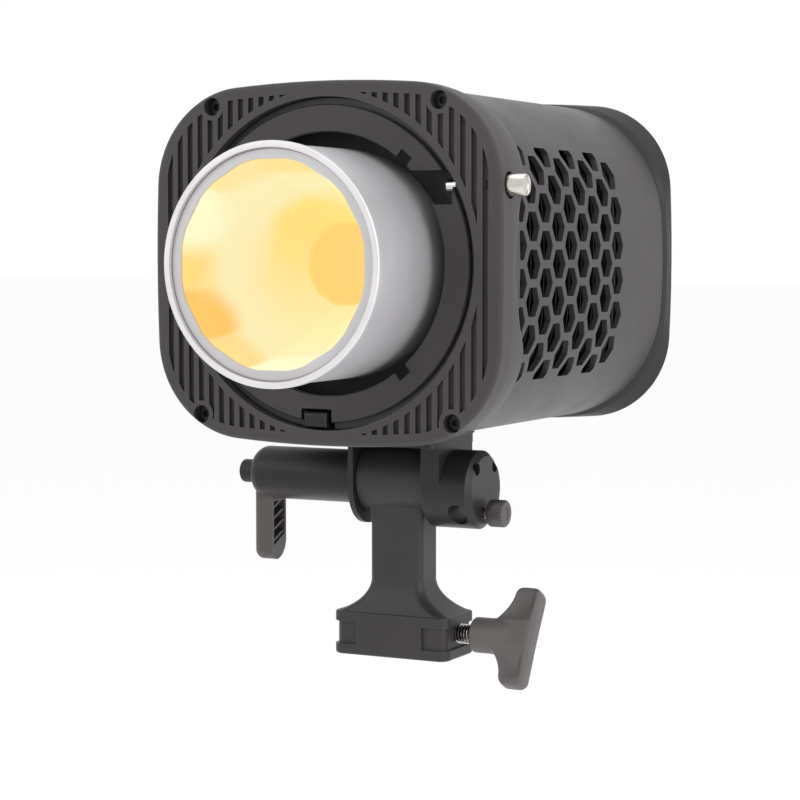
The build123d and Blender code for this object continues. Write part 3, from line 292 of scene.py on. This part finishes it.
def lever_with_painted_hub_shade():
    """Brown-grey grip that darkens upwards into a near-black hub, the hub's dark painted shade under
    the head.
    """
    material = coated(
        "lever_paint_and_hub_shade", (0.074, 0.065, 0.064), (0.084, 0.074, 0.073),
        rough=(0.34, 0.46), grain=1400, worn=(0.11, 0.1, 0.098))
    tree, shader, grip = base_colour(material)
    low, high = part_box("tilt_lever")
    hub_base = high[2] - (high[1] - low[1])
    upward = mapped(tree, position(tree)["Z"], hub_base - 0.002, hub_base + 0.007,
                    interpolation_type="SMOOTHSTEP")
    # the near-black over the hub is painted shade from the head above it
    hub_shaded = mixed(tree, upward, grip, (0.013, 0.0118, 0.0123))
    tree.links.new(hub_shaded, shader.inputs["Base Color"])
    return material


def thread_with_painted_root_shade():
    """Bright thread crests over roots darkened as painted shade, by distance from the clamp screw's
    axis.
    """
    material = turned(
        "bright_thread", (0.58, 0.56, 0.53), (0.70, 0.68, 0.64), rough=(0.18, 0.28))
    tree, shader, bright = base_colour(material)
    low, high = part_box("clamp_screw")
    source = node(tree, "ShaderNodeTexCoord")
    offset = node(tree, "ShaderNodeVectorMath", operation="SUBTRACT")
    tree.links.new(source.outputs["Object"], offset.inputs[0])
    offset.inputs[1].default_value = (0, (low[1] + high[1]) / 2, (low[2] + high[2]) / 2)
    flat = node(tree, "ShaderNodeVectorMath", operation="MULTIPLY")
    tree.links.new(offset.outputs["Vector"], flat.inputs[0])
    flat.inputs[1].default_value = (0, 1, 1)
    length = node(tree, "ShaderNodeVectorMath", operation="LENGTH")
    tree.links.new(flat.outputs["Vector"], length.inputs[0])
    root_radius, crest_radius = 0.0034, 0.00385
    crest = mapped(tree, length.outputs["Value"], root_radius, crest_radius)
    # the dark at the thread roots is painted shade
    thread_roots_shaded = mixed(tree, crest, (0.03, 0.028, 0.026), bright)
    tree.links.new(thread_roots_shaded, shader.inputs["Base Color"])
    return material


def facet_ramp(tree, turn):
    """One cream for each of the twelve facets, painted as each facet is lit, eased into the next."""
    ramp_node = node(tree, "ShaderNodeValToRGB")
    ramp = ramp_node.color_ramp
    ramp.interpolation = "EASE"
    creams = (
        (0.96, 0.66, 0.22), (0.93, 0.54, 0.14), (0.97, 0.68, 0.28), (1.0, 0.90, 0.62),
        (1.0, 0.90, 0.64), (1.0, 0.84, 0.42), (1.0, 0.70, 0.20), (0.98, 0.62, 0.15),
        (0.82, 0.54, 0.20), (0.93, 0.68, 0.28), (0.96, 0.74, 0.36), (1.0, 0.90, 0.62),
    )
    plain_half = 0.42
    for place, element in zip((0, 1), ramp.elements):
        element.position = place
        element.color = (*creams[0], 1)
    for index, cream in enumerate(creams):
        for place in ((index - plain_half) / len(creams), (index + plain_half) / len(creams)):
            if place > 0:
                ramp.elements.new(place).color = (*cream, 1)
    tree.links.new(turn, ramp_node.inputs["Fac"])
    return ramp_node.outputs["Color"]


def warm_reflector():
    """Satin facets painted as if lit: a cream each at the mouth, pale further in, amber deep."""
    material, tree, shader = new_material("lit_reflector")
    low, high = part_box("faceted_reflector")
    place = position(tree)
    level = node(tree, "ShaderNodeMath", operation="SUBTRACT")
    tree.links.new(place["Z"], level.inputs[0])
    level.inputs[1].default_value = (low[2] + high[2]) / 2
    angle = node(tree, "ShaderNodeMath", operation="ARCTAN2")
    tree.links.new(level.outputs["Value"], angle.inputs[0])
    tree.links.new(place["X"], angle.inputs[1])
    facets = facet_ramp(tree, mapped(tree, angle.outputs["Value"], -math.pi, math.pi))
    drift = spread(tree, noise(tree, coordinates(tree), 34, 1.5, 0.4), -0.14, 0.14)
    deep = node(tree, "ShaderNodeMath", operation="ADD", use_clamp=True)
    tree.links.new(mapped(tree, place["Y"], low[1], high[1]), deep.inputs[0])
    tree.links.new(drift, deep.inputs[1])
    depth = deep.outputs["Value"]
    upward = mapped(tree, level.outputs["Value"], -0.022, 0.012)
    core = mixed(tree, upward, (1.0, 0.84, 0.44), (1.0, 0.74, 0.24))
    pale_in = mapped(tree, depth, 0.16, 0.42, interpolation_type="SMOOTHSTEP")
    pale = mixed(tree, pale_in, facets, (1.0, 0.83, 0.50))
    amber_in = mapped(tree, depth, 0.48, 0.80, interpolation_type="SMOOTHSTEP")
    colour = mixed(tree, amber_in, pale, core)
    dimmed = node(tree, "ShaderNodeMix", data_type="RGBA", blend_type="MULTIPLY")
    dimmed.inputs["Factor"].default_value = 1
    tree.links.new(colour, dimmed.inputs["A"])
    dimmed.inputs["B"].default_value = (0.26, 0.25, 0.22, 1)
    tree.links.new(dimmed.outputs["Result"], shader.inputs["Base Color"])
    tree.links.new(colour, shader.inputs["Emission Color"])
    shader.inputs["Emission Strength"].default_value = 0.78
    shader.inputs["Specular IOR Level"].default_value = 0.25
    streaks = noise(tree, coordinates(tree), 90, 2)
    tree.links.new(spread(tree, streaks, 0.4, 0.5), shader.inputs["Roughness"])
    grain = noise(tree, coordinates(tree), 1500, 2)
    tree.links.new(bump(tree, grain, 0.00002, 0.4), shader.inputs["Normal"])
    return material


special = {
    "faceted_reflector": warm_reflector(),
    "reflector_barrel": barrel_with_painted_root_shade(),
    "barrel_lip": coated(
        "painted_lip", (0.47, 0.46, 0.465), (0.52, 0.51, 0.515), rough=(0.4, 0.5), metal=0.3),
    "mount_housing": coated(
        "dark_cup", (0.012, 0.011, 0.0115), (0.016, 0.0145, 0.015), rough=(0.45, 0.6)),
    "release_pin": turned("polished_pin", (0.7, 0.7, 0.7), (0.82, 0.82, 0.82), rough=(0.12, 0.2)),
    # bracket paint darkened as painted shade under the head
    "tilt_bracket": coated(
        "bracket_paint_in_painted_shade", (0.017, 0.0152, 0.0158), (0.021, 0.0188, 0.0195),
        rough=(0.34, 0.44), worn=(0.06, 0.056, 0.056)),
    # stem paint darkened as painted shade under the head
    "tilt_stem": coated(
        "stem_paint_in_painted_shade", (0.027, 0.0242, 0.0252), (0.032, 0.0286, 0.0298),
        rough=(0.36, 0.46), worn=(0.08, 0.075, 0.075)),
    "tilt_lever": lever_with_painted_hub_shade(),
    "umbrella_screw": coated(
        "thumb_metal", (0.085, 0.078, 0.076), (0.10, 0.092, 0.09),
        rough=(0.3, 0.4), metal=0.6, worn=(0.2, 0.19, 0.185)),
    "fan_rotor": coated(
        "fan_blade", (0.013, 0.012, 0.013), (0.02, 0.019, 0.02), rough=(0.3, 0.4)),
    # the holder and board are no lamps: their glow is painted light
    "cob_holder": glowing("lit_holder", (0.24, 0.165, 0.055), (1.0, 0.72, 0.22), 0.78),
    "cob_substrate": glowing("lit_board", (0.24, 0.165, 0.055), (1.0, 0.72, 0.22), 0.78),
    "detent_tab": coated(
        "gloss_tab", (0.010, 0.010, 0.011), (0.015, 0.015, 0.015), rough=(0.12, 0.2)),
}


def dress(piece, material):
    """One material on a piece."""
    piece.data.materials.clear()
    piece.data.materials.append(material)


for part in frame["record"]["subparts"]:
    piece = frame["nodes"][part["node"]]
    dress(piece, special.get(part["node"], materials[part["material_slot"]]))


# ---------------------------------------------------------------- mesh helpers
def finished(name, mesh_builder, material, body, stands_for=(), smooth=40):
    """Turns a bmesh into a piece that rides on a body."""
    mesh = bpy.data.meshes.new(name)
    bmesh.ops.recalc_face_normals(mesh_builder, faces=mesh_builder.faces)
    mesh_builder.to_mesh(mesh)
    mesh_builder.free()
    piece = bpy.data.objects.new(name, mesh)
    scene.collection.objects.link(piece)
    mesh.materials.append(material)
    mesh.polygons.foreach_set("use_smooth", [True] * len(mesh.polygons))
    mesh.set_sharp_from_angle(angle=math.radians(smooth))
    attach(piece, body)
    if stands_for:
        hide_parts(*stands_for)
    return piece


def turned_mesh(profile, centre, axis, segments=96, ripple=None, target=None):
    """Lathed closed surface. profile holds (distance along axis, radius); ripple(angle, i) scales."""
    built = target or bmesh.new()
    axis = Vector(axis).normalized()
    across = axis.orthogonal().normalized()
    other = axis.cross(across)
    rings = []
    for index, (distance, radius) in enumerate(profile):
        ring = []
        for step in range(segments):
            angle = 2 * math.pi * step / segments
            size = radius * (ripple(angle, index) if ripple else 1)
            point = Vector(centre) + axis * distance
            point += (across * math.cos(angle) + other * math.sin(angle)) * size
            ring.append(built.verts.new(point))
        rings.append(ring)
    for first, second in zip(rings, rings[1:]):
        for step in range(segments):
            after = (step + 1) % segments
            built.faces.new((first[step], first[after], second[after], second[step]))
    built.faces.new(rings[0])
    built.faces.new(reversed(rings[-1]))
    return built


def thread_profile(start, end, pitch, radius, depth):
    """Profile of a fine thread as closely spaced crests and roots."""
    rows = [(start, radius - depth)]
    count = int((end - start) / pitch)
    for index in range(count):
        base = start + pitch * index
        rows += [
            (base + 0.12 * pitch, radius - depth),
            (base + 0.44 * pitch, radius),
            (base + 0.56 * pitch, radius),
            (base + 0.88 * pitch, radius - depth),
        ]
    rows.append((end, radius - depth))
    return rows


def helical(profile, centre, axis, pitch, segments=72):
    """Like turned_mesh, but each row slides along the axis by one pitch per turn."""
    built = bmesh.new()
    axis = Vector(axis).normalized()
    across = axis.orthogonal().normalized()
    other = axis.cross(across)
    first_row, last_row = profile[0][0], profile[-1][0]
    grid = []
    for distance, radius in profile:
        row = []
        for step in range(segments + 1):
            angle = 2 * math.pi * step / segments
            slid = distance + pitch * step / segments
            slid = min(max(slid, first_row), last_row)
            point = Vector(centre) + axis * slid
            point += (across * math.cos(angle) + other * math.sin(angle)) * radius
            row.append(built.verts.new(point))
        grid.append(row)
    for first, second in zip(grid, grid[1:]):
        for step in range(segments):
            built.faces.new((first[step], first[step + 1], second[step + 1], second[step]))
    bmesh.ops.remove_doubles(built, verts=built.verts, dist=0.000002)
    bmesh.ops.dissolve_degenerate(built, edges=built.edges, dist=0.000002)
    bmesh.ops.holes_fill(built, edges=built.edges, sides=0)
    return built


def middle(node_name):
    """Middle of a CAD node's box."""
    low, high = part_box(node_name)
    return (Vector(low) + Vector(high)) / 2


# ---------------------------------------------------------------- knurled and threaded pieces
def knurl(teeth, depth, rows):
    """Straight knurl on the profile rows that are listed."""
    def ripple(angle, index):
        if index not in rows:
            return 1
        return 1 - depth * (0.5 - 0.5 * math.cos(angle * teeth))
    return ripple


thumb_low, thumb_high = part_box("umbrella_screw")
thumb_centre = middle("umbrella_screw")
thumb_radius = (thumb_high[2] - thumb_low[2]) / 2
thumb_length = 0.0069
knob_start = thumb_high[0] - thumb_length
thumb = turned_mesh(
    [
        (knob_start, thumb_radius * 0.5),
        (knob_start, thumb_radius * 0.90),
        (knob_start + 0.0005, thumb_radius),
        (thumb_high[0] - 0.0007, thumb_radius),
        (thumb_high[0] - 0.0001, thumb_radius * 0.90),
        (thumb_high[0], thumb_radius * 0.55),
        (thumb_high[0] - 0.0004, thumb_radius * 0.50),
        (thumb_high[0] - 0.0004, thumb_radius * 0.10),
    ],
    (0, thumb_centre[1], thumb_centre[2]), (1, 0, 0), segments=320,
    ripple=knurl(40, 0.075, (2, 3)))
finished("thumb_screw_head", thumb, special["umbrella_screw"],
         "umbrella_thumb", ("umbrella_screw",))
shank = helical(
    thread_profile(thumb_low[0], knob_start + 0.0004, 0.0008, 0.0024, 0.0004),
    (0, thumb_centre[1], thumb_centre[2]), (1, 0, 0), 0.0008)
finished("thumb_screw_thread", shank, materials["plated_steel"], "umbrella_thumb")

screw_low, screw_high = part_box("clamp_screw")
screw_centre = middle("clamp_screw")
pivot = 0.002
clamp_thread = helical(
    thread_profile(screw_low[0] + pivot, screw_high[0], 0.00125, 0.00395, 0.00075),
    (0, screw_centre[1], screw_centre[2]), (1, 0, 0), 0.00125)
finished("clamp_thread", clamp_thread, thread_with_painted_root_shade(),
         "clamp_knob", ("clamp_screw",))
clamp_nose = turned_mesh(
    [(screw_low[0], 0.0013), (screw_low[0] + 0.0003, 0.0015), (screw_low[0] + pivot + 0.0002, 0.0015)],
    (0, screw_centre[1], screw_centre[2]), (1, 0, 0), segments=32)
finished("clamp_nose", clamp_nose, materials["plated_steel"], "clamp_knob")

for dial, body in (("intensity_knob", "intensity_dial"), ("colour_knob", "colour_dial")):
    low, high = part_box(dial)
    centre = middle(dial)
    radius = (high[0] - low[0]) / 2
    face = high[1]
    rim = face - 0.009
    grip = turned_mesh(
        [
            (low[1], 0.0028),
            (rim, 0.0029),
            (rim, radius * 0.94),
            (rim + 0.0006, radius * 0.99),
            (face - 0.0016, radius * 0.96),
            (face - 0.0005, radius * 0.91),
            (face, radius * 0.84),
            (face, radius * 0.70),
            (face - 0.0005, radius * 0.66),
            (face - 0.0005, radius * 0.1),
        ],
        (centre[0], 0, centre[2]), (0, 1, 0), segments=288, ripple=knurl(36, 0.06, (3, 4)))
    finished(dial + "_grip", grip, materials["control_knob"], body, (dial,))

pull_low, pull_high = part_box("release_knob")
pull_centre = middle("release_knob")
pull_radius = (pull_high[2] - pull_low[2]) / 2
pull = turned_mesh(
    [
        (pull_low[0], pull_radius * 0.5),
        (pull_low[0], pull_radius * 0.80),
        (pull_low[0] + 0.0003, pull_radius * 0.94),
        (pull_high[0] - 0.0004, pull_radius * 0.94),
        (pull_high[0], pull_radius * 0.88),
        (pull_high[0], pull_radius * 0.80),
        (pull_high[0] - 0.0006, pull_radius * 0.74),
        (pull_high[0] - 0.0006, pull_radius * 0.1),
    ],
    (0, pull_centre[1], pull_centre[2]), (1, 0, 0), segments=128)
finished("release_pull", pull, materials["polished_knob"], "release",
         ("release_knob",))


# ---------------------------------------------------------------- reflector, lip and pin sleeve
lip_low, lip_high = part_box("barrel_lip")
lamp_centre = (lip_low[2] + lip_high[2]) / 2
lip_radius = (lip_high[0] - lip_low[0]) / 2
cup_low, cup_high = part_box("faceted_reflector")
cup_depth = cup_high[1] - cup_low[1]
cup_wall = 0.0008
mouth_circle = 0.0382
mouth_edge = 0.0379
lip_relief = 0.0001
# an apothem this large is always cut back to the circle, so the section is round
round_section = 1
# share of the depth, apothem of the facets' inside
cup_sections = (
    (0.0, 0.0377), (0.08, 0.0368), (0.17, 0.0357), (0.27, 0.0343), (0.38, 0.0325),
    (0.50, 0.0299), (0.62, 0.0268), (0.74, 0.0233), (0.87, 0.0195), (1.0, 0.0158),
)
facets = 12
fine = 240


def faceted_radius(apothem, angle, limit):
    """Radius of a twelve-sided section at an angle, cut back to a circle."""
    step = 2 * math.pi / facets
    off = (angle + step / 2) % step - step / 2
    return min(apothem / math.cos(off), limit)


def section_ring(built, apothem, y, limit):
    """Ring of vertices of a faceted section at depth y."""
    ring = []
    for index in range(fine):
        angle = 2 * math.pi * index / fine
        radius = faceted_radius(apothem, angle, limit)
        ring.append(built.verts.new(
            (radius * math.cos(angle), y, lamp_centre + radius * math.sin(angle))))
    return ring


def closed_tube(built, rings):
    """Joins rings to each other in turn, and the last to the first."""
    for first, second in zip(rings, rings[1:] + rings[:1]):
        for index in range(len(first)):
            after = (index + 1) % len(first)
            built.faces.new((first[index], first[after], second[after], second[index]))


cup = bmesh.new()
inner = [
    section_ring(cup, apothem, cup_low[1] + share * cup_depth, mouth_circle)
    for share, apothem in cup_sections
]
outer = [
    section_ring(cup, apothem + cup_wall, cup_low[1] + share * cup_depth, mouth_circle + cup_wall)
    for share, apothem in reversed(cup_sections)
]
closed_tube(cup, inner + outer)
finished("lit_cup", cup, special["faceted_reflector"], "lamp_head",
         ("faceted_reflector",), smooth=12)

lip = bmesh.new()
closed_tube(lip, [
    section_ring(lip, mouth_edge, lip_low[1], mouth_circle + 0.0002),
    section_ring(lip, round_section, lip_low[1] + 0.0002, lip_radius - 0.0006),
    section_ring(lip, round_section, lip_low[1] + 0.0006, lip_radius - lip_relief),
    section_ring(lip, round_section, lip_high[1], lip_radius - lip_relief),
    section_ring(lip, mouth_edge, lip_high[1], mouth_circle + 0.0002),
])
finished("barrel_face", lip, special["barrel_lip"], "lamp_head",
         ("barrel_lip",), smooth=30)

pin_centre = middle("release_pin")
# the sleeve lines the pin's chamber and stands for no CAD node
sleeve_start, sleeve_end = 0.0557, 0.0659
sleeve_outer, sleeve_inner = 0.0059, 0.0053
sleeve_steps = 96
sleeve = bmesh.new()
sleeve_rings = []
for x, radius in (
    (sleeve_start, sleeve_outer), (sleeve_end, sleeve_outer),
    (sleeve_end, sleeve_inner), (sleeve_start, sleeve_inner),
):
    sleeve_rings.append([
        sleeve.verts.new((
            x,
            pin_centre[1] + radius * math.cos(2 * math.pi * index / sleeve_steps),
            pin_centre[2] + radius * math.sin(2 * math.pi * index / sleeve_steps)))
        for index in range(sleeve_steps)
    ])
closed_tube(sleeve, sleeve_rings)
finished("pin_sleeve", sleeve, materials["charcoal_front"], "lamp_head")


# ---------------------------------------------------------------- T-handle casting
handle_low, handle_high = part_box("clamp_handle")
lean = math.radians(30)
span_direction = Vector((0, math.sin(lean), math.cos(lean)))
thick_direction = Vector((0, -math.cos(lean), math.sin(lean)))
handle_axis = Vector((0, screw_centre[1], screw_centre[2]))
half_span = 0.0206
outer_x = handle_high[0] - 0.0002
neck_x = handle_low[0] + 0.0076
wing_x = handle_low[0] + 0.0152
hub_radius = 0.0071
half_thickness = 0.0053


def handle_inner(reach):
    """X of the handle's inner side at a distance from its axis: a concave sweep out to the wing tip."""
    share = min(max((reach - 0.005) / (half_span - 0.0075), 0), 1)
    return neck_x + (wing_x - neck_x) * math.sin(share * math.pi / 2) ** 0.8


def handle_point(span_share, turn):
    """Point on the handle's wings: span_share from -1 to 1 along them, turn round the section."""
    reach = abs(span_share) * half_span
    start = handle_inner(reach)
    tip = min((half_span - reach) / 0.0036, 1)
    rounding = math.sqrt(max(1 - (1 - tip) ** 2, 0.0004))
    half_x = (outer_x - start) / 2 * (0.45 + 0.55 * rounding)
    half_w = half_thickness * (0.35 + 0.65 * rounding)
    power = 0.42
    c, s = math.cos(turn), math.sin(turn)
    x = math.copysign(abs(c) ** power, c)
    w = math.copysign(abs(s) ** power, s)
    bowl_span = 1 - ((reach - 0.0128) / 0.0066) ** 2
    bowl_x = 1 - (x / 0.74) ** 2
    dish = 0.0021 * max(bowl_span, 0) ** 0.5 * max(bowl_x, 0) ** 0.5
    depth = math.copysign(max(abs(w) * half_w - dish, 0), w)
    middle_x = (outer_x + start) / 2
    return (
        Vector((middle_x + x * half_x, 0, 0)) + handle_axis
        + span_direction * span_share * half_span + thick_direction * depth
    )


handle = bmesh.new()
span_steps, turn_steps = 90, 120
sections = []
for step in range(span_steps + 1):
    share = -1 + 2 * step / span_steps
    sections.append([
        handle.verts.new(handle_point(share, 2 * math.pi * (turn + 0.5) / turn_steps))
        for turn in range(turn_steps)
    ])
for first, second in zip(sections, sections[1:]):
    for turn in range(turn_steps):
        after = (turn + 1) % turn_steps
        handle.faces.new((first[turn], first[after], second[after], second[turn]))
handle.faces.new(sections[0])
handle.faces.new(reversed(sections[-1]))
turned_mesh(
    [
        (handle_low[0], hub_radius * 0.62),
        (handle_low[0], hub_radius * 0.92),
        (handle_low[0] + 0.0007, hub_radius),
        (neck_x, hub_radius),
        (neck_x + 0.003, hub_radius * 1.04),
        (neck_x + 0.007, hub_radius * 0.95),
        (outer_x - 0.004, hub_radius * 0.55),
        (outer_x - 0.003, hub_radius * 0.2),
    ],
    (0, screw_centre[1], screw_centre[2]), (1, 0, 0), segments=96, target=handle)
casting = finished("clamp_grip", handle, materials["charcoal_plastic"],
                   "clamp_knob", ("clamp_handle",), smooth=60)
remesh = casting.modifiers.new("one_casting", "REMESH")
remesh.mode = "VOXEL"
remesh.voxel_size = 0.00042
remesh.use_smooth_shade = True
soften = casting.modifiers.new("softened", "SMOOTH")
soften.factor = 0.5
soften.iterations = 7


# ---------------------------------------------------------------- stage, light and camera
def plane_piece(name, size, location):
    """Flat sheet made from four corners."""
    built = bmesh.new()
    corners = [built.verts.new((x * size / 2, y * size / 2, 0))
               for x, y in ((-1, -1), (1, -1), (1, 1), (-1, 1))]
    built.faces.new(corners)
    mesh = bpy.data.meshes.new(name)
    built.to_mesh(mesh)
    built.free()
    made = bpy.data.objects.new(name, mesh)
    made.location = location
    scene.collection.objects.link(made)
    return made


floor = plane_piece("floor", 60, (0, 0, -0.35))
floor_material, floor_tree, floor_shader = new_material("floor_paper")
floor_shader.inputs["Base Color"].default_value = (0.97, 0.97, 0.97, 1)
floor_shader.inputs["Roughness"].default_value = 0.9
dress(floor, floor_material)

world = bpy.data.worlds.new("studio")
scene.world = world
world.use_nodes = True
background = world.node_tree.nodes["Background"]
background.inputs["Color"].default_value = (1, 1, 1, 1)
background.inputs["Strength"].default_value = 1.0


def softbox(name, location, aim, size, power):
    """Rectangular area light aimed at a point."""
    data = bpy.data.lights.new(name, "AREA")
    data.shape = "RECTANGLE"
    data.size, data.size_y = size
    data.energy = power
    light = bpy.data.objects.new(name, data)
    light.location = location
    direction = Vector(aim) - Vector(location)
    light.rotation_euler = direction.to_track_quat("-Z", "Y").to_euler()
    scene.collection.objects.link(light)


aim = (0, 0, 0.14)
softbox("key_left", (-0.9, -1.0, 0.75), aim, (0.9, 0.9), 4)
softbox("fill_right", (1.3, -0.35, 0.45), aim, (0.7, 1.1), 7)
softbox("top", (0.1, 0.1, 1.3), aim, (1.2, 1.2), 4)

camera_data = bpy.data.cameras.new("photo_view")
camera = bpy.data.objects.new("photo_view", camera_data)
scene.collection.objects.link(camera)
scene.camera = camera
camera.location = (0.40741, -0.80953, 0.16370)
heading = Vector((-0.45011, 0.89041, -0.06755))
camera.rotation_euler = heading.to_track_quat("-Z", "Y").to_euler()
camera_data.sensor_width = 36
camera_data.lens = 101.84
camera_data.clip_start = 0.01
camera_data.clip_end = 50

scene.view_settings.view_transform = "Standard"
